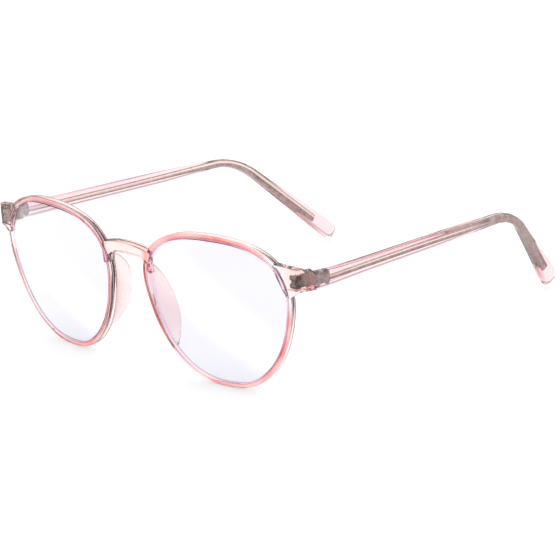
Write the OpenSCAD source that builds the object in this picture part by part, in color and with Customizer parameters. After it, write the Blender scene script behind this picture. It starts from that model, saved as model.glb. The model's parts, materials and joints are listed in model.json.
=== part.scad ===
// Blue light glasses: a clear tinted front with two coated lenses, bonded nose pads,
// and two folding temples with a metal core wire, each on a screwed barrel hinge.
// X runs across the face, the front looks along -Y, Z is up and the rims stand on Z = 0.

/* [Rims] */
// Half width of a rim's outline, outside, at mid height
rim_half_w = 28; // [25:0.1:31]
// Half height of a rim's outline, outside
rim_half_h = 24.3; // [21:0.1:27]
// How much wider the rim is at the top than in the middle
rim_taper = 0.22; // [0:0.01:0.26]
// Squareness of the outline, 1 being a plain oval
rim_power = 0.83; // [0.75:0.01:1]
// Width of the rim's front face
rim_face = 1.7; // [1.2:0.1:2.4]
// Depth of the rim, front to back
rim_depth = 2.4; // [2:0.1:3.2]
// Distance from the middle of the bridge to a rim's centre
rim_x = 36.7; // [34:0.1:40]
// Forward lean of the rims' tops, in degrees
rim_lean = 4; // [0:0.5:8]
// Backward sweep of each rim's outer side, in degrees
rim_wrap = 6.4; // [2:0.1:9]

/* [Lenses] */
// Thickness of a lens
lens_t = 1.8; // [1.2:0.1:2]
// Radius of a lens's front surface
lens_radius = 130; // [120:1:150]
// How far a lens stands ahead of the rim at its centre
lens_bulge = 2.4; // [2.3:0.05:2.5]
// Thickness of the bevel that sits in the rim's groove
bevel_t = 0.5; // [0.3:0.05:0.6]
// How far the bevel reaches into the rim
bevel_reach = 0.6; // [0.3:0.05:0.8]

/* [Bridge] */
// Height of the bridge bar
bridge_h = 3.7; // [2.4:0.1:4]
// Height of the bridge bar's top above the rims' centres
bridge_top = 15.5; // [14:0.1:18]
// Rise of the bridge's arch
bridge_rise = 1.6; // [0.5:0.1:3]

/* [Nose pads] */
// Depth of a pad behind the rim
pad_depth = 7.5; // [5:0.1:9]
// Thickness of a pad
pad_t = 1.9; // [1.4:0.1:2.4]
// Outward flare of a pad, in degrees
pad_flare = 12; // [5:1:35]

/* [Temples] */
// Straight part of a temple, from the hinge joint to the bend
temple_straight = 84.9; // [70:0.1:95]
// Part of a temple behind the bend
temple_drop = 38.4; // [30:0.1:45]
// Radius of the bend over the ear
bend_radius = 23; // [15:0.5:30]
// Angle of the bend over the ear, in degrees
bend_angle = 45; // [35:1:50]
// Inward lean of the bend, in degrees
bend_lean = 20; // [10:1:25]
// Inward aim of a temple, in degrees
temple_toe = 3.3; // [1:0.1:5]
// Downward slope of a temple, in degrees
temple_slope = 1.4; // [0:0.1:2]
// Thickness of a temple, side to side
temple_t = 3.2; // [2.8:0.1:3.8]

/* [Hinges] */
// Distance from the middle to a temple's centre at the joint
temple_x = 69.5; // [67:0.1:72]
// Height of the hinges above the table
hinge_z = 37.5; // [36:0.1:39]
// Distance from the rims' centres back to the joint
joint_y = 8.4; // [8:0.1:12]
// Radius of a hinge barrel
barrel_r = 1.2; // [1:0.05:1.3]
// Height of a hinge's stack of barrels
barrel_stack = 4.2; // [3.6:0.1:4.8]
// Diameter of a hinge screw's shank
screw_d = 1.2; // [1:0.1:1.4]

/* [Hidden] */

clear_pink = [0.97, 0.80, 0.78, 0.6];
pad_pink = [0.98, 0.86, 0.87];
lens_tint = [0.90, 0.90, 1.00, 0.35];
nickel = [0.55, 0.50, 0.48];

// Gap around a metal piece that the plastic is moulded over
mould_gap = 0.03;
// Gap between the front and a temple at the joint, when open
joint_gap = 0.05;
// Radial gap between a screw's shank and a barrel's bore
screw_gap = 0.03;
// Gap between two barrels of a stack
barrel_gap = 0.04;
// Gap around a lens
lens_gap = 0.05;
// How far a temple's start at the joint stands above the line of its straight part
joint_lift = 0.4;

outline_points = 96;
rim_z = rim_half_h * cos(rim_lean);
groove_y = rim_depth / 2;

// The hinge pivot stands inside the temple's inner face and behind the joint
pivot_in = temple_t / 2 + 1.3;
pivot_back = 1.4;
pivot_x = temple_x - pivot_in;
pivot_y = joint_y + pivot_back;

// Barrel heights: the front's two outer ones and the temple's middle one
middle_h = 1.5;
outer_h = (barrel_stack - middle_h) / 2;

bend_len = bend_radius * bend_angle * PI / 180;
// The direction that the bend turns to
inward_down = [-sin(bend_lean), 0, -cos(bend_lean)];
temple_len = temple_straight + bend_len + temple_drop;
// Length of the temple hinge's plate, and how far it reaches ahead of the pivot
plate_l = 6;
plate_ahead = 1;
// The core wire runs from the plate's end and stops short of the tip
wire_start = pivot_back + plate_l - plate_ahead + 0.05;
wire_end = temple_len - 10;

// Length along the temple, its height there and its thickness there
temple_sections = [
    [0, 5.8, temple_t], [12, 5.1, temple_t], [24, 4.6, temple_t], [62, 4.2, temple_t],
    [80, 3.2, temple_t], [92, 2.6, temple_t], [106, 3.2, temple_t + 0.1],
    [122, 4.6, temple_t + 0.3], [134, 5.9, temple_t + 0.4], [temple_len, 6.2, temple_t]
];
// Length along the wire, its height there and its thickness there
wire_sections = [
    [0, 1.6, 1.2], [82, 1.6, 1.2], [92, 1.7, 1.3], [108, 2.4, 1.2], [temple_len, 2.4, 1.2]
];
tip_round = 2.6;

// Where the assembly's middle lies between the rims' tops and the temples' tips
front_reach = rim_half_h * sin(rim_lean) + 0.75 * rim_half_w * sin(rim_wrap);
tip = temple_point(temple_len);
back_reach = joint_y + tip.y * cos(temple_toe);
mid_y = (back_reach - front_reach) / 2;

function signed_power(a, p) = sign(a) * pow(abs(a), p);
function smooth(a) = a <= 0 ? 0 : a >= 1 ? 1 : a * a * (3 - 2 * a);
function column(table, k) = [for (row = table) [row[0], row[k]]];

// A point on a rim's outline, drawn in by inset
function rim_point(t, inset) = [
    (rim_half_w - inset) * signed_power(cos(t), rim_power)
        * (1 + rim_taper * signed_power(sin(t), rim_power)),
    (rim_half_h - inset) * signed_power(sin(t), rim_power)
];

// The temple's centre line, in its own frame: straight along +Y, then bending down and in
function turn_at(s) = bend_angle * min(1, max(0, (s - temple_straight) / bend_len));
function temple_point(s) =
    let (a = turn_at(s), rest = max(0, s - temple_straight - bend_len))
    [0, min(s, temple_straight), -joint_lift * smooth(s / 9)]
        + [0, 1, 0] * (bend_radius * sin(a) + rest * cos(a))
        + inward_down * (bend_radius * (1 - cos(a)) + rest * sin(a));

// One ring of points around the centre line, upright at the hinge and leaning at the bend
function section_ring(s, h, t, points, power) =
    let (
        a = turn_at(s),
        twist = -bend_lean * (1 - smooth((s - temple_straight / 2) / (temple_straight / 2))),
        up = -inward_down * cos(a) + [0, 1, 0] * sin(a),
        out = [cos(bend_lean), 0, -sin(bend_lean)],
        high = up * cos(twist) + out * sin(twist),
        wide = out * cos(twist) - up * sin(twist)
    )
    [for (i = [0:points - 1])
        let (f = 360 * i / points)
        temple_point(s) + high * signed_power(sin(f), power) * h / 2
            + wide * signed_power(cos(f), power) * t / 2];

// A closed solid through a row of rings that all have the same number of points
module skin(rings) {
    n = len(rings[0]);
    m = len(rings);
    polyhedron(
        points = [for (r = rings) each r],
        faces = concat(
            [[for (j = [n - 1:-1:0]) j]],
            [for (i = [0:m - 2], j = [0:n - 1])
                [i * n + j, (i + 1) * n + (j + 1) % n, (i + 1) * n + j]],
            [for (i = [0:m - 2], j = [0:n - 1])
                [i * n + j, i * n + (j + 1) % n, (i + 1) * n + (j + 1) % n]],
            [[for (j = [0:n - 1]) (m - 1) * n + j]]
        )
    );
}

// Places a right-hand piece as the mirror image of the left-hand one
module on_side(side) {
    translate([0, -mid_y, 0])
        if (side == "right") mirror([1, 0, 0]) children();
        else children();
}

// A rim's own frame: X outward, Y backward from its front face, Z up
module rim_frame() {
    translate([rim_x, 0, rim_z]) rotate([rim_lean, 0, 0]) rotate([0, 0, rim_wrap]) children();
}

// A slab of the rim's outline, drawn in by inset, from y0 to y1 behind the front face
module rim_slab(inset, y0, y1) {
    translate([0, y1, 0]) rotate([90, 0, 0]) linear_extrude(y1 - y0)
        polygon([for (i = [0:outline_points - 1]) rim_point(360 * i / outline_points, inset)]);
}

module temple_frame() {
    translate([temple_x, joint_y, hinge_z])
        rotate([0, 0, temple_toe]) rotate([-temple_slope, 0, 0]) children();
}

// The pivot's own frame: Z along the hinge axis, at the middle of the stack
module pivot_frame() {
    translate([pivot_x, pivot_y, hinge_z]) children();
}

// ---- Front ----

corner_x = 66.4;
corner_z = 38.4;
// Radius along the edges of the end piece's arm
arm_round = 1;

// Blends the rim's upper outer side into the end piece's corner
module end_piece_web() {
    hull() {
        rim_frame() {
            for (t = [44, 18])
                let (p = rim_point(t, rim_face / 2))
                translate([p.x, rim_depth, p.y]) rotate([90, 0, 0])
                    cylinder(h = rim_depth, r = rim_face / 2, $fn = 32);
        }
        end_piece_corner();
    }
}

module end_piece_corner() {
    corner_h = 6.8;
    for (x = [corner_x - 3, corner_x + 1.6])
        translate([x, x < corner_x ? 3.5 : 4.2, corner_z - corner_h / 2])
            cylinder(h = corner_h, r = 1.4, $fn = 32);
}

// The arm that runs back from the corner to the hinge joint
module end_piece_arm() {
    arm_h = 5.4;
    inner_x = pivot_x - barrel_r + arm_round;
    outer_x = temple_x + temple_t / 2 - arm_round;
    hull() {
        end_piece_corner();
        for (x = [inner_x, outer_x], z = [-1, 1])
            translate([x, joint_y - joint_gap, hinge_z + z * (arm_h / 2 - arm_round)])
                rotate([90, 0, 0]) cylinder(h = 1, r = arm_round, $fn = 32);
    }
}

module bridge() {
    half_span = 12;
    arch_r = (half_span * half_span + bridge_rise * bridge_rise) / (2 * bridge_rise);
    top_z = bridge_top + bridge_rise;
    translate([0, 0, rim_z]) rotate([rim_lean, 0, 0]) translate([0, 0.1, 0])
        rotate([90, 0, 0]) linear_extrude(rim_depth + 0.6)
            intersection() {
                translate([0, top_z - arch_r]) difference() {
                    circle(r = arch_r, $fn = 180);
                    circle(r = arch_r - bridge_h, $fn = 180);
                }
                translate([-half_span, 0]) square([2 * half_span, 2 * rim_half_h]);
            }
}

module front_frame() {
    color(clear_pink) translate([0, -mid_y, 0]) difference() {
        union() {
            for (k = [0, 1]) mirror([k, 0, 0]) {
                rim_frame() rim_slab(0, 0, rim_depth);
                end_piece_web();
                end_piece_arm();
            }
            bridge();
        }
        for (k = [0, 1]) mirror([k, 0, 0]) {
            rim_frame() {
                rim_slab(rim_face, -rim_depth, 3 * rim_depth);
                rim_slab(rim_face - bevel_reach - lens_gap,
                    groove_y - bevel_t / 2 - lens_gap, groove_y + bevel_t / 2 + lens_gap);
            }
            front_anchor(mould_gap);
        }
    }
}

// ---- Lenses and pads ----

// How far inside the rim's opening the bevel's root lies, within the lens's edge
bevel_root = 0.2;

module lens(side) {
    color(lens_tint) on_side(side) rim_frame() {
        intersection() {
            rim_slab(rim_face + lens_gap, -rim_depth, 2 * rim_depth);
            translate([0, lens_radius - lens_bulge, 0]) difference() {
                sphere(r = lens_radius, $fn = 200);
                sphere(r = lens_radius - lens_t, $fn = 200);
            }
        }
        difference() {
            rim_slab(rim_face - bevel_reach, groove_y - bevel_t / 2, groove_y + bevel_t / 2);
            rim_slab(rim_face + bevel_root, -rim_depth, 2 * rim_depth);
        }
    }
}

// A pad is a blade from the rim's back face, deepest in its middle and tapering to its ends
module nose_pad(side) {
    first = 155;
    last = 213;
    steps = 14;
    ring_points = 20;
    rings = [for (i = [0:steps])
        let (
            f = i / steps,
            root = rim_point(first + (last - first) * f, rim_face / 2),
            fullness = pow(sin(180 * (0.04 + 0.92 * f)), 0.7),
            reach = 0.6 + (pad_depth - 0.6) * fullness,
            half_t = pad_t / 2 * (0.45 + 0.55 * fullness),
            flare = pad_flare * fullness,
            back = [sin(flare), cos(flare), 0],
            across = [cos(flare), -sin(flare), 0],
            centre = [root.x, rim_depth, root.y] + back * (reach / 2 - 0.5)
        )
        [for (j = [0:ring_points - 1])
            let (a = 360 * j / ring_points)
            centre + back * cos(a) * (reach / 2 + 0.5) - across * sin(a) * half_t]];
    color(pad_pink) on_side(side) rim_frame() difference() {
        skin(rings);
        translate([-2 * rim_half_w, rim_depth - 10, -2 * rim_half_h])
            cube([4 * rim_half_w, 10, 4 * rim_half_h]);
    }
}

// ---- Hinges ----

// A barrel about the pivot, from z0 up to z1
module barrel(z0, z1) {
    translate([0, 0, z0]) cylinder(h = z1 - z0, r = barrel_r, $fn = 64);
}

module screw_bore() {
    cylinder(h = 2 * barrel_stack, r = screw_d / 2 + screw_gap, center = true, $fn = 64);
}

// Height of the front hinge's tab, and how far its middle stands above the pivot's
tab_h = 3.6;
tab_lift = 0.3;

// The part of the front hinge that the front is moulded over: a tab with two round lugs
module front_anchor(gap) {
    tab_t = 1.4;
    tab_l = 4.7;
    lug_r = 0.85;
    lug_w = 2.4;
    lug_in = 0.6;
    pivot_frame() {
        translate([-tab_t / 2 - gap, -pivot_back - tab_l - gap, tab_lift - tab_h / 2 - gap])
            cube([tab_t + 2 * gap, tab_l + gap, tab_h + 2 * gap]);
        for (z = [-1, 1])
            translate([-lug_w / 2 - gap, -pivot_back - tab_l + lug_in,
                tab_lift + z * (tab_h / 2 - lug_in)])
                rotate([0, 90, 0]) cylinder(h = lug_w + 2 * gap, r = lug_r + gap, $fn = 48);
    }
}

module front_hinge(side) {
    half = barrel_stack / 2;
    leaf_t = 1.4;
    leaf_in = 0.4;
    leaf_low = tab_lift - tab_h / 2 + 0.2;
    leaf_high = tab_lift + tab_h / 2 - 0.2;
    color(nickel) on_side(side) {
        front_anchor(0);
        pivot_frame() difference() {
            for (z0 = [-half, middle_h / 2 + barrel_gap]) {
                z1 = z0 < 0 ? -middle_h / 2 - barrel_gap : half;
                barrel(z0, z1);
                translate([-leaf_t / 2, -pivot_back - leaf_in, max(z0, leaf_low)])
                    cube([leaf_t, pivot_back + leaf_in, min(z1, leaf_high) - max(z0, leaf_low)]);
            }
            screw_bore();
        }
    }
}

module hinge_screw(side) {
    head_r = 0.95;
    head_h = 0.5;
    slot_w = 0.3;
    slot_h = 0.25;
    half = barrel_stack / 2;
    color(nickel) on_side(side) pivot_frame() difference() {
        union() {
            translate([0, 0, -half]) cylinder(h = barrel_stack + 0.2, r = screw_d / 2, $fn = 64);
            translate([0, 0, half + 0.02]) cylinder(h = head_h, r = head_r, $fn = 64);
        }
        translate([-2, -slot_w / 2, half + head_h - slot_h + 0.02]) cube([4, slot_w, 1]);
    }
}

// The part of the temple hinge that the temple is moulded over: a plate with four round lobes
module temple_anchor(gap) {
    plate_t = 1.4;
    plate_x = pivot_in - plate_t / 2 - 0.3;
    plate_h = 2.8;
    lobe_r = 0.8;
    lobe_in = 1;
    web_w = 1.6;
    web_h = middle_h;
    pivot_frame() {
        translate([plate_x - gap, -plate_ahead - gap, -plate_h / 2 - gap])
            cube([plate_t + 2 * gap, plate_l + 2 * gap, plate_h + 2 * gap]);
        for (y = [lobe_in - plate_ahead, plate_l - plate_ahead - lobe_in], z = [-1, 1])
            translate([plate_x - gap, y, z * plate_h / 2])
                rotate([0, 90, 0]) cylinder(h = plate_t + 2 * gap, r = lobe_r + gap, $fn = 48);
        translate([barrel_r - 0.2, -web_w / 2 - gap, -web_h / 2 - gap])
            cube([plate_x - barrel_r + 0.4, web_w + 2 * gap, web_h + 2 * gap]);
    }
}

module temple_hinge(side) {
    color(nickel) on_side(side) {
        temple_anchor(0);
        pivot_frame() difference() {
            union() {
                barrel(-middle_h / 2, middle_h / 2);
                translate([0, -0.8, -middle_h / 2]) cube([barrel_r + 0.1, 1.6, middle_h]);
            }
            screw_bore();
        }
    }
}

// ---- Temples ----

// Stations along the temple, closer together where the tip rounds off
temple_stations = concat(
    [-1.5, 3.5, 8],
    [for (i = [0:11]) 14 + (temple_straight - 14) * i / 12],
    [for (i = [0:11]) temple_straight + bend_len * i / 12],
    [for (i = [0:9]) temple_straight + bend_len + (temple_drop - tip_round) * i / 9],
    [for (a = [25, 45, 60, 72, 82]) temple_len - tip_round + tip_round * sin(a)]
);

function tip_scale(s) =
    let (past = max(0, s - temple_len + tip_round) / tip_round)
    1 - (1 - sqrt(max(0, 1 - past * past))) * 0.75;

// The wire, or with a gap the channel around it, which opens into the hinge plate's pocket
module wire_solid(gap) {
    stations = concat([gap > 0 ? wire_start - 0.4 : wire_start],
        [for (i = [1:12]) wire_start + (temple_straight - wire_start) * i / 12],
        [for (i = [1:12]) temple_straight + bend_len * i / 12],
        [for (i = [1:6]) temple_straight + bend_len
            + (wire_end + gap - temple_straight - bend_len) * i / 6]);
    heights = column(wire_sections, 1);
    widths = column(wire_sections, 2);
    skin([for (s = stations)
        section_ring(s, lookup(s, heights) + 2 * gap, lookup(s, widths) + 2 * gap, 12, 1)]);
}

module temple(side) {
    heights = column(temple_sections, 1);
    widths = column(temple_sections, 2);
    rings = [for (s = temple_stations)
        section_ring(s, lookup(s, heights) * tip_scale(s), lookup(s, widths) * tip_scale(s),
            24, 0.6)];
    color(clear_pink) on_side(side) difference() {
        temple_frame() difference() {
            skin(rings);
            wire_solid(mould_gap);
        }
        translate([temple_x - 10, joint_y - 10 + joint_gap, 0]) cube([20, 10, 60]);
        temple_anchor(mould_gap);
    }
}

module core_wire(side) {
    color(nickel) on_side(side) temple_frame() wire_solid(0);
}

front_frame();
lens("left");  // lens_left
lens("right");  // lens_right
nose_pad("left");  // nose_pad_left
nose_pad("right");  // nose_pad_right
front_hinge("left");  // front_hinge_left
front_hinge("right");  // front_hinge_right
hinge_screw("left");  // hinge_screw_left
hinge_screw("right");  // hinge_screw_right
temple("left");  // temple_left
temple("right");  // temple_right
temple_hinge("left");  // temple_hinge_left
temple_hinge("right");  // temple_hinge_right
core_wire("left");  // core_wire_left
core_wire("right");  // core_wire_right
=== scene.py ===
"""Clear pink glasses: a moulded front, coated lenses, bonded nose pads and folding wire-core temples."""

import json
import math

import bmesh
import bpy
from mathutils import Matrix, Vector


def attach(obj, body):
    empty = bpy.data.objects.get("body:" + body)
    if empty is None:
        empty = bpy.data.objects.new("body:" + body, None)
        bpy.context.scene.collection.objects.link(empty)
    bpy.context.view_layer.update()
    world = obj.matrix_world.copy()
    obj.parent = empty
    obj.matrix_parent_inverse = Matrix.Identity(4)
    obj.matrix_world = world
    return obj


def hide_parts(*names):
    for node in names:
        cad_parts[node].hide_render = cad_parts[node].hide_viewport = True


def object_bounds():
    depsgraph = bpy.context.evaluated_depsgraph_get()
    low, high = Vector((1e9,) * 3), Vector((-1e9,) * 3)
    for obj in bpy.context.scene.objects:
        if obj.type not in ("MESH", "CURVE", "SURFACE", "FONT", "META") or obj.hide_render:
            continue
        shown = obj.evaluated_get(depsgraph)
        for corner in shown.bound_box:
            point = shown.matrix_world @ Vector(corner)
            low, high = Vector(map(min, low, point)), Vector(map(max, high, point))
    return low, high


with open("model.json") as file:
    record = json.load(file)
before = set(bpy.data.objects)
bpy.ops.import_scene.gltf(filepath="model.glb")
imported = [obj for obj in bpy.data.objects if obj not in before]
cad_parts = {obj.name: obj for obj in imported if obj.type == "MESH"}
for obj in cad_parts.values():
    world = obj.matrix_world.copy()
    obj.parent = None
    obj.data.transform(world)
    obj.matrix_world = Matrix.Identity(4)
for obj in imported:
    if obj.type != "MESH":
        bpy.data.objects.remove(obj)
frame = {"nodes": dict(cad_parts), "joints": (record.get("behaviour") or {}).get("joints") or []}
cad_low, cad_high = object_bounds()

MM = 0.001
SAME_PLACE = 0.004
LEFT = 1
RIGHT = -1
SIDES = {"left": LEFT, "right": RIGHT}

# ---- The part's own sizes, in millimetres and degrees ----

RIM_HALF_W = 28.0
RIM_HALF_H = 24.3
RIM_TAPER = 0.22
RIM_POWER = 0.83
RIM_FACE = 1.7
RIM_DEPTH = 2.4
RIM_X = 36.7
RIM_LEAN = 4.0
RIM_WRAP = 6.4
RIM_Z = RIM_HALF_H * math.cos(math.radians(RIM_LEAN))

LENS_T = 1.8
LENS_RADIUS = 130.0
LENS_BULGE = 2.4
BEVEL_REACH = 0.6
BEVEL_FRONT = 0.95
BEVEL_BACK = 1.35

BRIDGE_H = 3.7
BRIDGE_TOP = 15.5
BRIDGE_RISE = 1.6
BRIDGE_CHORD = 12.0
BRIDGE_FRONT = -2.9
BRIDGE_BACK = 0.1
BRIDGE_ROUND = 0.35

PAD_DEPTH = 7.5
PAD_T = 1.9
PAD_FLARE = 12.0

TEMPLE_X = 69.5
TEMPLE_STRAIGHT = 84.9
TEMPLE_DROP = 38.4
TEMPLE_T = 3.2
TEMPLE_TOE = 3.3
TEMPLE_SLOPE = 1.4
BEND_RADIUS = 23.0
BEND_ANGLE = 45.0
BEND_LEAN = 20.0
BEND_LEN = BEND_RADIUS * math.radians(BEND_ANGLE)
TEMPLE_LEN = TEMPLE_STRAIGHT + BEND_LEN + TEMPLE_DROP
TIP_ROUND = 2.6
TIP_SHRINK = 0.75

HINGE_Z = 37.5
JOINT_Y = 8.4
JOINT_GAP = 0.05
JOINT_LIFT = 0.4
JOINT_LIFT_OVER = 9
PIVOT_BACK = 1.4
PIVOT_IN = TEMPLE_T / 2 + 1.3
BARREL_R = 1.2
PLATE_BEHIND_PIVOT = 5.0
WIRE_START = PIVOT_BACK + PLATE_BEHIND_PIVOT + JOINT_GAP
WIRE_END = TEMPLE_LEN - 10

CORNER_X = 66.4
CORNER_Z = 38.4
CORNER_H = 6.8
CORNER_R = 1.4
CORNER_POSTS = [(CORNER_X - 3, 3.5), (CORNER_X + 1.6, 4.2)]
ARM_H = 5.4
ARM_ROUND = 1.0
END_ROUND = 0.22

# The hinge pivot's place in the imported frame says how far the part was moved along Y
pivot = Vector(frame["joints"][0]["pos_m"]) / MM
SHIFT_Y = pivot.y - JOINT_Y - PIVOT_BACK


# ---- Shapes as formulas ----


def signed_power(value, power):
    """The power of a number, with its sign kept."""
    return math.copysign(abs(value) ** power, value)


def smooth(value):
    """A soft step from 0 to 1."""
    value = min(1.0, max(0.0, value))
    return value * value * (3 - 2 * value)


def lookup(value, table):
    """Reads a table of (place, size) rows, with straight lines between its rows."""
    if value <= table[0][0]:
        return table[0][1]
    for (start, low), (end, high) in zip(table, table[1:]):
        if value <= end:
            return low + (high - low) * (value - start) / (end - start)
    return table[-1][1]


def rim_point(turn, inset):
    """X and Z of the rim's outline at a turn in degrees, drawn in by inset."""
    angle = math.radians(turn)
    across = signed_power(math.cos(angle), RIM_POWER)
    up = signed_power(math.sin(angle), RIM_POWER)
    return (RIM_HALF_W - inset) * across * (1 + RIM_TAPER * up), (RIM_HALF_H - inset) * up


rim_turn = Matrix.Rotation(math.radians(RIM_LEAN), 4, "X") @ Matrix.Rotation(math.radians(RIM_WRAP), 4, "Z")
rim_place = Matrix.Translation((RIM_X, 0, RIM_Z)) @ rim_turn
temple_place = (
    Matrix.Translation((TEMPLE_X, JOINT_Y, HINGE_Z))
    @ Matrix.Rotation(math.radians(TEMPLE_TOE), 4, "Z")
    @ Matrix.Rotation(math.radians(-TEMPLE_SLOPE), 4, "X")
)


def in_frame(side, point, place=Matrix.Identity(4)):
    """A point of the left half's own drawing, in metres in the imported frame, mirrored for the right."""
    x, y, z = place @ Vector(point)
    return Vector((side * x, y + SHIFT_Y, z)) * MM


# ---- Modelling with operators ----


def start_fresh():
    """Leaves object mode with nothing selected."""
    if bpy.context.object and bpy.context.object.mode != "OBJECT":
        bpy.ops.object.mode_set(mode="OBJECT")
    bpy.ops.object.select_all(action="DESELECT")


def set_ring(mesh, order, ring, painted_highlight=None):
    """Moves a ring's points to their places, and stores the painted highlight of each if there is one."""
    for index, place in zip(order, ring):
        mesh.verts[index].co = place
    if painted_highlight:
        layer = mesh.verts.layers.float["painted_highlight"]
        for index, value in zip(order, painted_highlight):
            mesh.verts[index][layer] = value


def extruded_order(mesh, order):
    """The new points that an extrusion gave to a ring's points, in the same order."""
    fresh = []
    for index in order:
        corner = mesh.verts[index]
        mates = [link.other_vert(corner) for link in corner.link_edges]
        fresh.append(next(mate.index for mate in mates if mate.select and mate.index not in order))
    return fresh


def loft(name, rings, looped=False, painted_highlights=None):
    """A closed shell through rings of points: a circle is extruded from each ring to the next.
    A looped shell ends where it started, and any other is closed by its first and last rings."""
    start_fresh()
    bpy.ops.mesh.primitive_circle_add(
        vertices=len(rings[0]), radius=MM, fill_type="NOTHING" if looped else "NGON"
    )
    piece = bpy.context.object
    piece.name = name
    piece.data.name = name
    bpy.ops.object.mode_set(mode="EDIT")
    mesh = bmesh.from_edit_mesh(piece.data)
    mesh.verts.ensure_lookup_table()
    order = list(range(len(rings[0])))
    if painted_highlights:
        mesh.verts.layers.float.new("painted_highlight")
        mesh.verts.ensure_lookup_table()
    else:
        painted_highlights = [None] * len(rings)
    set_ring(mesh, order, rings[0], painted_highlights[0])
    following = list(zip(rings, painted_highlights))[1:]
    if looped:
        following.append((rings[0], None))
    for ring, painted_highlight in following:
        if looped:
            bpy.ops.mesh.extrude_edges_move()
        else:
            bpy.ops.mesh.extrude_region_move()
        mesh = bmesh.from_edit_mesh(piece.data)
        mesh.verts.ensure_lookup_table()
        mesh.verts.index_update()
        order = extruded_order(mesh, order)
        set_ring(mesh, order, ring, painted_highlight)
    bmesh.update_edit_mesh(piece.data)
    close_shell()
    return piece


def close_shell():
    """Merges doubled points, turns the faces outward and leaves edit mode."""
    bpy.ops.mesh.select_all(action="SELECT")
    bpy.ops.mesh.remove_doubles(threshold=SAME_PLACE * MM)
    bpy.ops.mesh.normals_make_consistent(inside=False)
    bpy.ops.object.mode_set(mode="OBJECT")


def select_only(piece):
    """Selects one piece and makes it the active one."""
    start_fresh()
    piece.select_set(True)
    bpy.context.view_layer.objects.active = piece


def settle(piece):
    """Puts a piece's place into its mesh, so that its object sits at the origin."""
    select_only(piece)
    bpy.ops.object.transform_apply(location=True, rotation=True, scale=True)


def hull(name, posts):
    """The tight skin around some cylinders, each given as its two end points and its radius."""
    start_fresh()
    made = []
    for start, end, radius in posts:
        way = end - start
        turn = way.to_track_quat("Z", "Y").to_euler()
        bpy.ops.mesh.primitive_cylinder_add(
            vertices=48, radius=radius, depth=way.length, location=(start + end) / 2, rotation=turn
        )
        made.append(bpy.context.object)
    for post in made:
        post.select_set(True)
    bpy.ops.object.join()
    piece = bpy.context.object
    piece.name = name
    piece.data.name = name
    settle(piece)
    bpy.ops.object.mode_set(mode="EDIT")
    bpy.ops.mesh.select_all(action="SELECT")
    bpy.ops.mesh.convex_hull()
    close_shell()
    return piece


def use_modifier(piece, kind, **settings):
    """Adds a modifier and applies it."""
    select_only(piece)
    bpy.ops.object.modifier_add(type=kind)
    modifier = piece.modifiers[-1]
    for key, value in settings.items():
        setattr(modifier, key, value)
    bpy.ops.object.modifier_apply(modifier=modifier.name)


def round_edges(piece, width, angle):
    """Rounds the edges where faces meet at more than an angle."""
    use_modifier(
        piece, "BEVEL", width=width * MM, segments=3, limit_method="ANGLE",
        angle_limit=math.radians(angle), harden_normals=False,
    )


def fuse(piece, others):
    """Joins closed shells into one, without the walls between them."""
    for other in others:
        use_modifier(piece, "BOOLEAN", operation="UNION", solver="EXACT", object=other)
        bpy.data.objects.remove(other)


def shade(piece, angle):
    """Smooth shading with creases where faces meet at more than an angle."""
    select_only(piece)
    bpy.ops.object.shade_smooth_by_angle(angle=math.radians(angle))


def finish(piece, body, material, node):
    """Gives a finished piece its material and its body, and hides the imported node that it stands for."""
    piece.data.materials.clear()
    piece.data.materials.append(material)
    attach(piece, body)
    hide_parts(node)


# ---- Materials ----

NOISE_LOW, NOISE_HIGH = 0.3, 0.7


def add_node(tree, kind, **settings):
    """A shader node with its plain settings."""
    node = tree.nodes.new("ShaderNode" + kind)
    for key, value in settings.items():
        setattr(node, key, value)
    return node


def plug(tree, source, socket):
    """Feeds a socket from another node's output, or gives it a plain value."""
    if isinstance(source, bpy.types.NodeSocket):
        tree.links.new(source, socket)
    else:
        socket.default_value = source


def math_node(tree, operation, *terms):
    """The result of a sum on numbers or on other nodes' outputs."""
    node = add_node(tree, "Math", operation=operation)
    for source, socket in zip(terms, node.inputs):
        plug(tree, source, socket)
    return node.outputs["Value"]


def vector_node(tree, operation, first, second):
    """The result of a sum on two vectors."""
    node = add_node(tree, "VectorMath", operation=operation)
    plug(tree, first, node.inputs[0])
    plug(tree, second, node.inputs[1])
    return node.outputs["Value" if operation == "DOT_PRODUCT" else "Vector"]


def step_node(tree, value, start, end, low=0.0, high=1.0, kind="SMOOTHSTEP"):
    """Maps a value that runs from start to end onto low to high, and holds it there outside them."""
    node = add_node(tree, "MapRange", interpolation_type=kind)
    labels = ("Value", "From Min", "From Max", "To Min", "To Max")
    for label, source in zip(labels, (value, start, end, low, high)):
        plug(tree, source, node.inputs[label])
    return node.outputs["Result"]


def mix_node(tree, share, first, second):
    """Blends from a first colour to a second one by a share."""
    node = add_node(tree, "Mix", data_type="RGBA")
    for label, source in (("Factor", share), ("A", first), ("B", second)):
        plug(tree, source, node.inputs[label])
    return node.outputs["Result"]


def object_place(tree):
    """The place on the object, in metres."""
    return add_node(tree, "TexCoord").outputs["Object"]


def split_node(tree, vector):
    """The three parts of a vector, as outputs named X, Y and Z."""
    node = add_node(tree, "SeparateXYZ")
    tree.links.new(vector, node.inputs["Vector"])
    return node.outputs


def noise_range(tree, scale, detail, roughness, low, high):
    """Smooth noise over the object, between a low and a high value."""
    node = add_node(tree, "TexNoise")
    values = (("Vector", object_place(tree)), ("Scale", scale), ("Detail", detail), ("Roughness", roughness))
    for label, source in values:
        plug(tree, source, node.inputs[label])
    return step_node(tree, node.outputs["Fac"], NOISE_LOW, NOISE_HIGH, low, high, "LINEAR")


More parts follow.
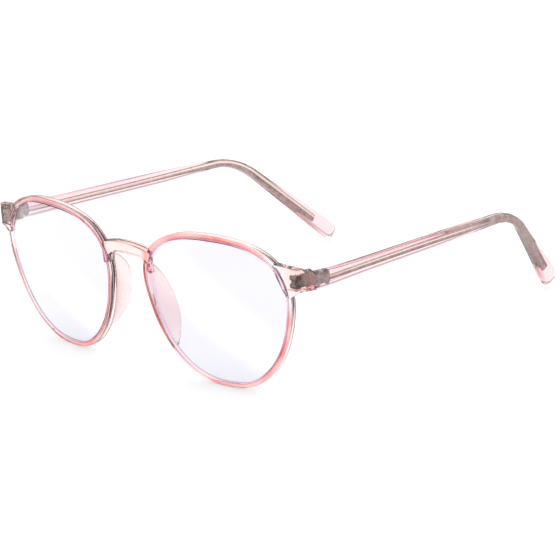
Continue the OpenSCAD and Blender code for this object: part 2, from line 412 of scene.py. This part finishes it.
def new_group(name, inputs, output, kind):
    """A node group with named inputs and one output, with its inner ends."""
    group = bpy.data.node_groups.new(name, "ShaderNodeTree")
    for label, socket, value in inputs:
        group.interface.new_socket(name=label, in_out="INPUT", socket_type=socket).default_value = value
    group.interface.new_socket(name=output, in_out="OUTPUT", socket_type=kind)
    given = group.nodes.new("NodeGroupInput").outputs
    return group, given, group.nodes.new("NodeGroupOutput").inputs[output]


# Handling marks: faint smears that change the gloss
handling, given, result = new_group(
    "Handling marks",
    [
        ("Clean", "NodeSocketFloat", 0.02),
        ("Smeared", "NodeSocketFloat", 0.08),
        ("Scale", "NodeSocketFloat", 90),
    ],
    "Roughness", "NodeSocketFloat",
)
plug(handling, noise_range(handling, given["Scale"], 5.0, 0.6, given["Clean"], given["Smeared"]), result)

# Tint flow: the slight change of tint over moulded plastic and metal, also laid over the painted deeper pink
# of the rims' front faces
tint_flow, given, result = new_group(
    "Tint flow",
    [
        ("Pale", "NodeSocketColor", (1, 1, 1, 1)),
        ("Deep", "NodeSocketColor", (1, 0.8, 0.8, 1)),
        ("Scale", "NodeSocketFloat", 40),
    ],
    "Color", "NodeSocketColor",
)
flow = noise_range(tint_flow, given["Scale"], 2.0, 0.5, 0.0, 1.0)
plug(tint_flow, mix_node(tint_flow, flow, given["Pale"], given["Deep"]), result)

# Glare band: a painted reflection, a soft near-white diagonal stripe across a lens where its tint gives way
# to white
ACROSS_BAND = (0.525, 0, 0.851)
BAND_CORE = 1.0
BAND_REACH = 12.0
GLARE_WHITE = (0.98, 0.98, 0.99, 1)
glare, given, result = new_group(
    "Glare band",
    [("Centre", "NodeSocketVector", (0, 0, 0)), ("Tint", "NodeSocketColor", (0.8, 0.8, 0.9, 1))],
    "Color", "NodeSocketColor",
)
place = vector_node(glare, "SUBTRACT", object_place(glare), given["Centre"])
off = math_node(glare, "ABSOLUTE", vector_node(glare, "DOT_PRODUCT", place, ACROSS_BAND))
share = step_node(glare, off, BAND_CORE * MM, BAND_REACH * MM)
plug(glare, mix_node(glare, share, GLARE_WHITE, given["Tint"]), result)

# Lens edge: a line just inside a lens's outline. The outline's own formula gives 1 on it and less inside.
EDGE_RISE = (0.92, 0.975)
EDGE_FALL = (1.0, 1.03)
edge, given, result = new_group(
    "Lens edge",
    [("Centre", "NodeSocketVector", (0, 0, 0)), ("Side", "NodeSocketFloat", 1)],
    "Share", "NodeSocketFloat",
)
place = split_node(edge, vector_node(edge, "SUBTRACT", object_place(edge), given["Centre"]))
half_h = (RIM_HALF_H - RIM_FACE) * math.cos(math.radians(RIM_LEAN)) * MM
half_w = (RIM_HALF_W - RIM_FACE) * math.cos(math.radians(RIM_WRAP)) * MM
upward = math_node(edge, "DIVIDE", place["Z"], half_h)
outward = math_node(edge, "MULTIPLY", place["X"], given["Side"])
widening = math_node(edge, "ADD", math_node(edge, "MULTIPLY", upward, RIM_TAPER), 1.0)
outward = math_node(edge, "DIVIDE", outward, math_node(edge, "MULTIPLY", widening, half_w))
powers = [
    math_node(edge, "POWER", math_node(edge, "ABSOLUTE", way), 2 / RIM_POWER) for way in (upward, outward)
]
outline = math_node(edge, "ADD", *powers)
line = math_node(edge, "SUBTRACT", step_node(edge, outline, *EDGE_RISE), step_node(edge, outline, *EDGE_FALL))
plug(edge, line, result)


def place_group(tree, group, **values):
    """A group in a material, with its values. Gives the group's output."""
    node = add_node(tree, "Group", node_tree=group)
    for label, value in values.items():
        node.inputs[label].default_value = value
    return node.outputs[0]


def new_material(name, **plain):
    """A material with one Principled shader and plain values on its sockets."""
    material = bpy.data.materials.new(name)
    material.use_nodes = True
    shader = material.node_tree.nodes["Principled BSDF"]
    for key, value in plain.items():
        shader.inputs[key.replace("_", " ")].default_value = value
    return material, material.node_tree, shader


def worn_material(name, group, tints, marks, **plain):
    """A material with its colour from a group, and its gloss between a clean and a smeared value."""
    material, tree, shader = new_material(name, **plain)
    clean, smeared, scale = marks
    tree.links.new(place_group(tree, group, **tints), shader.inputs["Base Color"])
    gloss = place_group(tree, handling, Clean=clean, Smeared=smeared, Scale=scale)
    tree.links.new(gloss, shader.inputs["Roughness"])
    return material


def flowing(pale, deep, scale):
    """Values for the tint flow group, from two colours."""
    return {"Pale": (*pale, 1), "Deep": (*deep, 1), "Scale": scale}


def see_through(name, tints, marks, volume_colour, density):
    """A clear plastic whose tint deepens with the way through it."""
    material = worn_material(name, tint_flow, tints, marks, Metallic=0.0, IOR=1.49, Transmission_Weight=1.0)
    tree = material.node_tree
    volume = add_node(tree, "VolumeAbsorption")
    volume.inputs["Color"].default_value = (*volume_colour, 1)
    volume.inputs["Density"].default_value = density
    tree.links.new(volume.outputs["Volume"], tree.nodes["Material Output"].inputs["Volume"])
    return material


def tint_over(material, share, colour):
    """Blends another colour over a material's own one by a share."""
    tree = material.node_tree
    base = tree.nodes["Principled BSDF"].inputs["Base Color"]
    tree.links.new(mix_node(tree, share, base.links[0].from_socket, colour), base)


# Two tints with the scale of their flow, then two roughnesses with the scale of the smears. A clear
# plastic also has the tint of its body and how dense that is.
clear_pink = see_through(
    "Clear pink plastic", flowing((1.0, 0.985, 0.98), (1.0, 0.95, 0.935), 60.0), (0.0, 0.03, 120.0),
    (0.93, 0.45, 0.38), 110.0,
)
temple_pink = see_through(
    "Clear pale temple plastic", flowing((1.0, 0.97, 0.975), (1.0, 0.93, 0.945), 60.0), (0.0, 0.03, 120.0),
    (0.93, 0.5, 0.55), 140.0,
)
pad_milk = see_through(
    "Milky pad plastic", flowing((1.0, 0.90, 0.895), (1.0, 0.80, 0.80), 120.0), (0.22, 0.34, 120.0),
    (0.97, 0.50, 0.52), 90.0,
)
satin_metal = worn_material(
    "Satin nickel", tint_flow, flowing((0.42, 0.38, 0.36), (0.22, 0.19, 0.18), 900.0), (0.22, 0.4, 1500.0),
    Metallic=1.0,
)
drawn_wire = worn_material(
    "Drawn wire", tint_flow, flowing((0.44, 0.38, 0.34), (0.30, 0.25, 0.23), 500.0), (0.08, 0.16, 1500.0),
    Metallic=1.0,
)
# Colour of the painted highlight strips on the wires
WIRE_HIGHLIGHT = (0.98, 0.93, 0.84, 1)

# Painted shade: the rims' front faces get a deeper pink than their sides, standing in for light that runs a
# longer way through the plastic, and the end pieces keep the pale tint
FACE_DEEP = 0.1
FACE_END = 0.4
END_OUT = (55, 60)
END_UP = (26, 31)
tree = clear_pink.node_tree
place = split_node(tree, object_place(tree))
away = math_node(tree, "ABSOLUTE", place["X"])
mirrored = add_node(tree, "CombineXYZ")
for label, source in (("X", away), ("Y", place["Y"]), ("Z", place["Z"])):
    tree.links.new(source, mirrored.inputs[label])
backward = rim_turn.to_3x3() @ Vector((0, 1, 0))
face = backward.dot(in_frame(LEFT, (0, 0, 0), rim_place))
depth = vector_node(tree, "DOT_PRODUCT", mirrored.outputs["Vector"], backward)
painted_front_share = step_node(tree, depth, face + FACE_DEEP * MM, face + FACE_END * MM, 1.0, 0.0)
outer = step_node(tree, away, END_OUT[0] * MM, END_OUT[1] * MM)
upper = step_node(tree, place["Z"], END_UP[0] * MM, END_UP[1] * MM)
elsewhere = math_node(tree, "SUBTRACT", 1.0, math_node(tree, "MULTIPLY", outer, upper))
painted_front_pink = place_group(tree, tint_flow, **flowing((1.0, 0.56, 0.54), (0.96, 0.12, 0.12), 110.0))
tint_over(clear_pink, math_node(tree, "MULTIPLY", painted_front_share, elsewhere), painted_front_pink)

# Painted highlights: bright strips on the wires' sides stand in for reflections
painted_highlight = add_node(drawn_wire.node_tree, "Attribute", attribute_name="painted_highlight")
tint_over(drawn_wire, painted_highlight.outputs["Fac"], WIRE_HIGHLIGHT)


def lens_material(side):
    """A coated lens: a faint violet tint, a painted reflection in a near-white diagonal band and a violet
    line at the edge.
    """
    centre = in_frame(side, (RIM_X, 0, RIM_Z))
    name = "Coated lens " + ("left" if side == LEFT else "right")
    band = {"Centre": centre, "Tint": (0.825, 0.825, 0.885, 1)}
    material = worn_material(
        name, glare, band, (0.0, 0.012, 60.0), Metallic=0.0, IOR=1.5, Transmission_Weight=1.0
    )
    line = place_group(material.node_tree, edge, Centre=centre, Side=side)
    tint_over(material, line, (0.88, 0.70, 0.97, 1))
    return material


# ---- Front ----

OUTLINE_STEPS = 192
OUTLINE_TURNS = [360 * k / OUTLINE_STEPS for k in range(OUTLINE_STEPS)]
GROOVE_GAP = 0.05


def corner_arc(centre, radius, first, last):
    """Points of a rounded corner of the rim's section, as (inset, depth)."""
    steps = 4
    inset, depth = centre
    angles = [math.radians(first + (last - first) * k / steps) for k in range(steps + 1)]
    return [(inset + radius * math.cos(angle), depth + radius * math.sin(angle)) for angle in angles]


def rim_section():
    """The rim's section with its lens groove, as (inset, depth) points in order around it."""
    front_r = 0.42
    back_r = 0.3
    lip_r = 0.12
    groove_floor = RIM_FACE - BEVEL_REACH - GROOVE_GAP
    groove_front, groove_back = BEVEL_FRONT - GROOVE_GAP, BEVEL_BACK + GROOVE_GAP
    return (
        corner_arc((front_r, front_r), front_r, 180, 270)
        + corner_arc((RIM_FACE - lip_r, lip_r), lip_r, 270, 360)
        + [(RIM_FACE, groove_front), (groove_floor, groove_front)]
        + [(groove_floor, groove_back), (RIM_FACE, groove_back)]
        + corner_arc((RIM_FACE - back_r, RIM_DEPTH - back_r), back_r, 0, 90)
        + corner_arc((back_r, RIM_DEPTH - back_r), back_r, 90, 180)
    )


def outline_ring(side, inset, depth):
    """A ring around a rim, drawn in from its outline and set back from its front face."""
    outline = [rim_point(turn, inset) for turn in OUTLINE_TURNS]
    return [in_frame(side, (x, depth, z), rim_place) for x, z in outline]


def make_rim(side):
    """A rim: each point of its section carried round its outline."""
    return loft("rim", [outline_ring(side, inset, depth) for inset, depth in rim_section()], looped=True)


def end_posts(side):
    """The posts that the end piece's two skins are stretched over. The web's stop slightly short of
    the rim's and the arm's own faces, so that no two faces lie in one plane."""
    step_in = 0.04
    step_down = 0.06
    web_turns = (44, 18)
    low, high = CORNER_Z - CORNER_H / 2, CORNER_Z + CORNER_H / 2
    web = []
    for turn in web_turns:
        x, z = rim_point(turn, RIM_FACE / 2)
        ends = [in_frame(side, (x, y, z), rim_place) for y in (step_in, RIM_DEPTH - step_in)]
        web.append((*ends, RIM_FACE / 2 * MM))
    arm = []
    for x, y in CORNER_POSTS:
        ends = [in_frame(side, (x, y, z)) for z in (low, high)]
        arm.append((*ends, CORNER_R * MM))
        ends = [in_frame(side, (x, y, z)) for z in (low + step_down, high - step_down)]
        web.append((*ends, (CORNER_R - step_in) * MM))
    inner_x = TEMPLE_X - PIVOT_IN - BARREL_R + ARM_ROUND
    outer_x = TEMPLE_X + TEMPLE_T / 2 - ARM_ROUND
    for x in (inner_x, outer_x):
        for up in (-1, 1):
            z = HINGE_Z + up * (ARM_H / 2 - ARM_ROUND)
            ends = [in_frame(side, (x, JOINT_Y - JOINT_GAP - back, z)) for back in (1, 0)]
            arm.append((*ends, ARM_ROUND * MM))
    return web, arm


def make_bridge():
    """An arched bar whose underside runs down into the rims' sides in two small curves."""
    half_span = 11.0
    fillet_from = 5.6
    fillet_w = 3.4
    fillet_h = 3.4
    arch_r = (BRIDGE_CHORD**2 + BRIDGE_RISE**2) / (2 * BRIDGE_RISE)
    crown = BRIDGE_TOP + BRIDGE_RISE
    steps = 24
    across = [half_span * (2 * k / steps - 1) for k in range(steps + 1)]

    def top(x):
        """Height of the arch's upper edge."""
        return crown - arch_r + math.sqrt(arch_r**2 - x * x)

    def under(x):
        """Height of the lower edge, which drops in a quarter curve beside each rim."""
        out = min(1.0, max(0.0, (abs(x) - fillet_from) / fillet_w))
        return top(x) - BRIDGE_H - fillet_h * (1 - math.sqrt(1 - out * out))

    outline = [(x, top(x)) for x in across] + [(x, under(x)) for x in reversed(across)]
    place = Matrix.Translation((0, 0, RIM_Z)) @ Matrix.Rotation(math.radians(RIM_LEAN), 4, "X")
    rings = [[in_frame(LEFT, (x, y, z), place) for x, z in outline] for y in (BRIDGE_FRONT, BRIDGE_BACK)]
    bar = loft("bridge", rings)
    round_edges(bar, BRIDGE_ROUND, angle=50)
    return bar


def make_front():
    """The moulded front: two rims, the bridge and two end pieces in one shell."""
    shell = make_rim(LEFT)
    parts = [make_rim(RIGHT), make_bridge()]
    for side in SIDES.values():
        for name, posts in zip(("web", "arm"), end_posts(side)):
            skin = hull(name, posts)
            round_edges(skin, END_ROUND, angle=40)
            parts.append(skin)
    fuse(shell, parts)
    shell.name = "front_shell"
    shell.data.name = "front_shell"
    shade(shell, angle=32)
    return shell


finish(make_front(), "front", clear_pink, "front_frame")

# ---- Lenses ----


def lens_depth(x, z):
    """Depth of the lens's front surface behind the rim's front plane."""
    return LENS_RADIUS - LENS_BULGE - math.sqrt(LENS_RADIUS**2 - x * x - z * z)


def make_lens(side, name):
    """A dished lens of even thickness with a bevel around its edge: rings from its front to its back."""
    edge_inset = RIM_FACE + GROOVE_GAP
    shares = (0.03, 0.15, 0.3, 0.45, 0.6, 0.72, 0.83, 0.92, 0.98, 1.0)
    outline = [rim_point(turn, edge_inset) for turn in OUTLINE_TURNS]

    def dish(share, thick):
        """The outline shrunk to a share of its size, on the lens's front surface or behind it."""
        points = [(x * share, z * share) for x, z in outline]
        return [in_frame(side, (x, lens_depth(x, z) + thick, z), rim_place) for x, z in points]

    reach = RIM_FACE - BEVEL_REACH
    bevel = [(edge_inset, BEVEL_FRONT), (reach, BEVEL_FRONT), (reach, BEVEL_BACK), (edge_inset, BEVEL_BACK)]
    rings = [dish(share, 0.0) for share in shares]
    rings += [outline_ring(side, inset, depth) for inset, depth in bevel]
    rings += [dish(share, LENS_T) for share in reversed(shares)]
    piece = loft(name, rings)
    shade(piece, angle=40)
    return piece


for side_name, side in SIDES.items():
    lens = make_lens(side, "lens_clear_" + side_name)
    finish(lens, "front", lens_material(side), "lens_" + side_name)

# ---- Nose pads ----


def make_pad(side, name):
    """A milky blade from the rim's back face, deepest in its middle and tapering to both ends."""
    first_turn = 155
    last_turn = 213
    steps = 32
    points = 36
    thin_reach = 0.6
    thin_share = 0.45
    end_share = 0.012
    roundness = 0.8
    root_in = 0.5
    behind_rim = 0.01
    rings = []
    for step in range(steps + 1):
        share = step / steps
        x, z = rim_point(first_turn + (last_turn - first_turn) * share, RIM_FACE / 2)
        fullness = math.sin(math.pi * (end_share + (1 - 2 * end_share) * share)) ** roundness
        reach = thin_reach + (PAD_DEPTH - thin_reach) * fullness
        half_t = PAD_T / 2 * (thin_share + (1 - thin_share) * fullness)
        flare = math.radians(PAD_FLARE * fullness)
        back = Vector((math.sin(flare), math.cos(flare), 0))
        across = Vector((math.cos(flare), -math.sin(flare), 0))
        centre = Vector((x, RIM_DEPTH, z)) + back * (reach / 2 - root_in)
        ring = []
        for k in range(points):
            around = 2 * math.pi * k / points
            point = centre + back * math.cos(around) * (reach / 2 + root_in)
            point -= across * math.sin(around) * half_t
            point.y = max(point.y, RIM_DEPTH + behind_rim)
            ring.append(in_frame(side, point, rim_place))
        rings.append(ring)
    piece = loft(name, rings)
    shade(piece, angle=50)
    return piece


for side_name, side in SIDES.items():
    pad = make_pad(side, "pad_" + side_name)
    finish(pad, "front", pad_milk, "nose_pad_" + side_name)

# ---- Temples and their wires ----

# Heights and widths of the sections, each after its length along the temple
TEMPLE_HEIGHTS = [
    (0, 5.8), (12, 5.1), (24, 4.6), (62, 4.2), (80, 3.2), (92, 2.6), (106, 3.2), (122, 4.6), (134, 5.9),
    (TEMPLE_LEN, 6.2),
]
TEMPLE_WIDTHS = [(0, 3.2), (92, 3.2), (106, 3.3), (122, 3.5), (134, 3.6), (TEMPLE_LEN, 3.2)]
WIRE_HEIGHTS = [(0, 1.6), (82, 1.6), (92, 1.7), (108, 2.4), (TEMPLE_LEN, 2.4)]
WIRE_WIDTHS = [(0, 1.2), (82, 1.2), (92, 1.3), (108, 1.2), (TEMPLE_LEN, 1.2)]
lean = math.radians(BEND_LEAN)
INWARD_DOWN = Vector((-math.sin(lean), 0, -math.cos(lean)))
OUTWARD = Vector((math.cos(lean), 0, -math.sin(lean)))
ALONG = Vector((0, 1, 0))
BOXY = 0.6
ROUND = 1.0
BEND_END = TEMPLE_STRAIGHT + BEND_LEN


def bend_turn(length):
    """How far the temple has turned down at a length along it."""
    return math.radians(BEND_ANGLE * min(1, max(0, (length - TEMPLE_STRAIGHT) / BEND_LEN)))


def temple_point(length):
    """The temple's centre line: straight back, then bending down and in."""
    turn = bend_turn(length)
    past = max(0, length - BEND_END)
    lift = JOINT_LIFT * smooth(length / JOINT_LIFT_OVER)
    straight = Vector((0, min(length, TEMPLE_STRAIGHT), -lift))
    bent = ALONG * (BEND_RADIUS * math.sin(turn) + past * math.cos(turn))
    return straight + bent + INWARD_DOWN * (BEND_RADIUS * (1 - math.cos(turn)) + past * math.sin(turn))


def section_ring(side, length, height, width, points, power):
    """A section across the centre line, upright at the hinge and leaning at the bend. A power of 1
    makes it an ellipse, and a smaller one makes it boxier."""
    turn = bend_turn(length)
    half = TEMPLE_STRAIGHT / 2
    twist = -lean * (1 - smooth((length - half) / half))
    up = -INWARD_DOWN * math.cos(turn) + ALONG * math.sin(turn)
    high = up * math.cos(twist) + OUTWARD * math.sin(twist)
    wide = OUTWARD * math.cos(twist) - up * math.sin(twist)
    centre = temple_point(length)
    ring = []
    for k in range(points):
        around = 2 * math.pi * k / points
        point = centre + high * signed_power(math.sin(around), power) * height / 2
        point += wide * signed_power(math.cos(around), power) * width / 2
        ring.append(in_frame(side, point, temple_place))
    return ring


def tip_scale(length):
    """How the section shrinks over the rounded end of the tip."""
    past = max(0, length - TEMPLE_LEN + TIP_ROUND) / TIP_ROUND
    return 1 - (1 - math.sqrt(max(0, 1 - past * past))) * TIP_SHRINK


def spread(start, end, steps):
    """Evenly spaced lengths from start up to but without the end."""
    return [start + (end - start) * k / steps for k in range(steps)]


BEND_STATIONS = spread(TEMPLE_STRAIGHT, BEND_END, 20)


def make_temple(side, name):
    """A temple: a rounded section swept along the centre line, flat where it meets the front."""
    points = 48
    first_step = 2.0
    tip_start = TEMPLE_LEN - TIP_ROUND
    stations = [0.0] + spread(first_step, TEMPLE_STRAIGHT, 36)
    stations += BEND_STATIONS + spread(BEND_END, tip_start, 16)
    stations += [tip_start + TIP_ROUND * math.sin(math.radians(turn)) for turn in (0, 20, 38, 54, 67, 78, 86)]
    rings = []
    for length in stations:
        scale = tip_scale(length)
        height = lookup(length, TEMPLE_HEIGHTS) * scale
        width = lookup(length, TEMPLE_WIDTHS) * scale
        rings.append(section_ring(side, length, height, width, points, BOXY))
    joint_face = (JOINT_Y + JOINT_GAP + SHIFT_Y) * MM
    for point in rings[0]:
        point.y = joint_face
    piece = loft(name, rings)
    shade(piece, angle=40)
    return piece


def wire_painted_highlight(length, points):
    """Painted highlight strips: a thin one high on the outer side, fading out at the bend, and a wide one
    inside.
    """
    fade_before_bend = 14
    fade_over = 16
    outer_turn = 30
    outer_half = 25
    inner_turn = 165
    inner_fade = 20
    inner_flat = 1.8
    inner_share = 0.8
    share = 1 - smooth((length - TEMPLE_STRAIGHT + fade_before_bend) / fade_over)
    values = []
    for k in range(points):
        turn = 360 * k / points
        outer = share * max(0.0, 1 - abs(turn - outer_turn) / outer_half)
        inner = inner_share * smooth(inner_flat - abs(turn - inner_turn) / inner_fade)
        values.append(max(outer, inner))
    return values


def make_wire(side, name):
    """A core wire inside a temple, from just behind the hinge's plate to short of the tip."""
    points = 24
    stations = spread(WIRE_START, TEMPLE_STRAIGHT, 30) + BEND_STATIONS + spread(BEND_END, WIRE_END, 10)
    stations.append(WIRE_END)
    rings = []
    for length in stations:
        height, width = lookup(length, WIRE_HEIGHTS), lookup(length, WIRE_WIDTHS)
        rings.append(section_ring(side, length, height, width, points, ROUND))
    piece = loft(name, rings, painted_highlights=[wire_painted_highlight(length, points) for length in stations])
    shade(piece, angle=45)
    return piece


for side_name, side in SIDES.items():
    body = side_name + "_temple"
    arm = make_temple(side, "temple_arm_" + side_name)
    finish(arm, body, temple_pink, "temple_" + side_name)
    wire = make_wire(side, "temple_wire_" + side_name)
    finish(wire, body, drawn_wire, "core_wire_" + side_name)

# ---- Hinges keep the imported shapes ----

for name, node in frame["nodes"].items():
    if "hinge" in name:
        for slot in node.material_slots:
            slot.material = satin_metal

# ---- Floor, light and camera ----

FLOOR_SIZE = 6

start_fresh()
bpy.ops.mesh.primitive_plane_add(size=FLOOR_SIZE, location=(0, 0, cad_low[2]))
floor = bpy.context.object
floor.name = "floor"
floor_white, _, _ = new_material(
    "Lit white table", Base_Color=(0.5, 0.5, 0.505, 1), Roughness=0.6, Emission_Color=(1, 1, 1, 1),
    Emission_Strength=0.52, Specular_IOR_Level=0.2,
)
floor.data.materials.append(floor_white)

CAMERA_AT = Vector((638.4, -603.4, 273.9)) * MM
CAMERA_AIM = Vector((3.71, -9.21, 14.10)) * MM
CAMERA_ROLL = math.radians(-3.907)
CAMERA_LENS = 181.05

camera_data = bpy.data.cameras.new("camera")
camera_data.lens = CAMERA_LENS
camera_data.sensor_width = 36
camera_data.clip_start = 0.01
camera = bpy.data.objects.new("camera", camera_data)
look = (CAMERA_AIM - CAMERA_AT).to_track_quat("-Z", "Y").to_matrix().to_4x4()
camera.matrix_world = Matrix.Translation(CAMERA_AT) @ look @ Matrix.Rotation(CAMERA_ROLL, 4, "Z")
bpy.context.scene.collection.objects.link(camera)
bpy.context.scene.camera = camera

LAMP_AT = Vector((0.0, 0.1, 1.0))
softbox = bpy.data.lights.new("softbox_top", "AREA")
softbox.shape = "SQUARE"
softbox.size = 0.8
softbox.energy = 1.3
lamp = bpy.data.objects.new("softbox_top", softbox)
lamp_turn = (-LAMP_AT).to_track_quat("-Z", "Y").to_matrix().to_4x4()
lamp.matrix_world = Matrix.Translation(LAMP_AT) @ lamp_turn
bpy.context.scene.collection.objects.link(lamp)

# The studio is white all round: brightest overhead, dimmer at the horizon and halved behind the camera
OVERHEAD = (0.02, 0.5)
OVERHEAD_LIGHT = (0.5, 1.33)
TO_CAMERA = Vector((0.73, -0.68, 0.05)).normalized()
NEAR_CAMERA = (0.45, 0.85)
CAMERA_LIGHT = (1.0, 0.5)
world = bpy.data.worlds.new("studio")
world.use_nodes = True
bpy.context.scene.world = world
tree = world.node_tree
direction = add_node(tree, "TexCoord").outputs["Generated"]
upward = vector_node(tree, "DOT_PRODUCT", direction, (0, 0, 1))
ceiling = step_node(tree, upward, *OVERHEAD, *OVERHEAD_LIGHT)
towards = vector_node(tree, "DOT_PRODUCT", direction, TO_CAMERA)
behind_camera = step_node(tree, towards, *NEAR_CAMERA, *CAMERA_LIGHT)
background = tree.nodes["Background"]
background.inputs["Color"].default_value = (1, 1, 1, 1)
tree.links.new(math_node(tree, "MULTIPLY", ceiling, behind_camera), background.inputs["Strength"])

bpy.context.scene.view_settings.view_transform = "Standard"
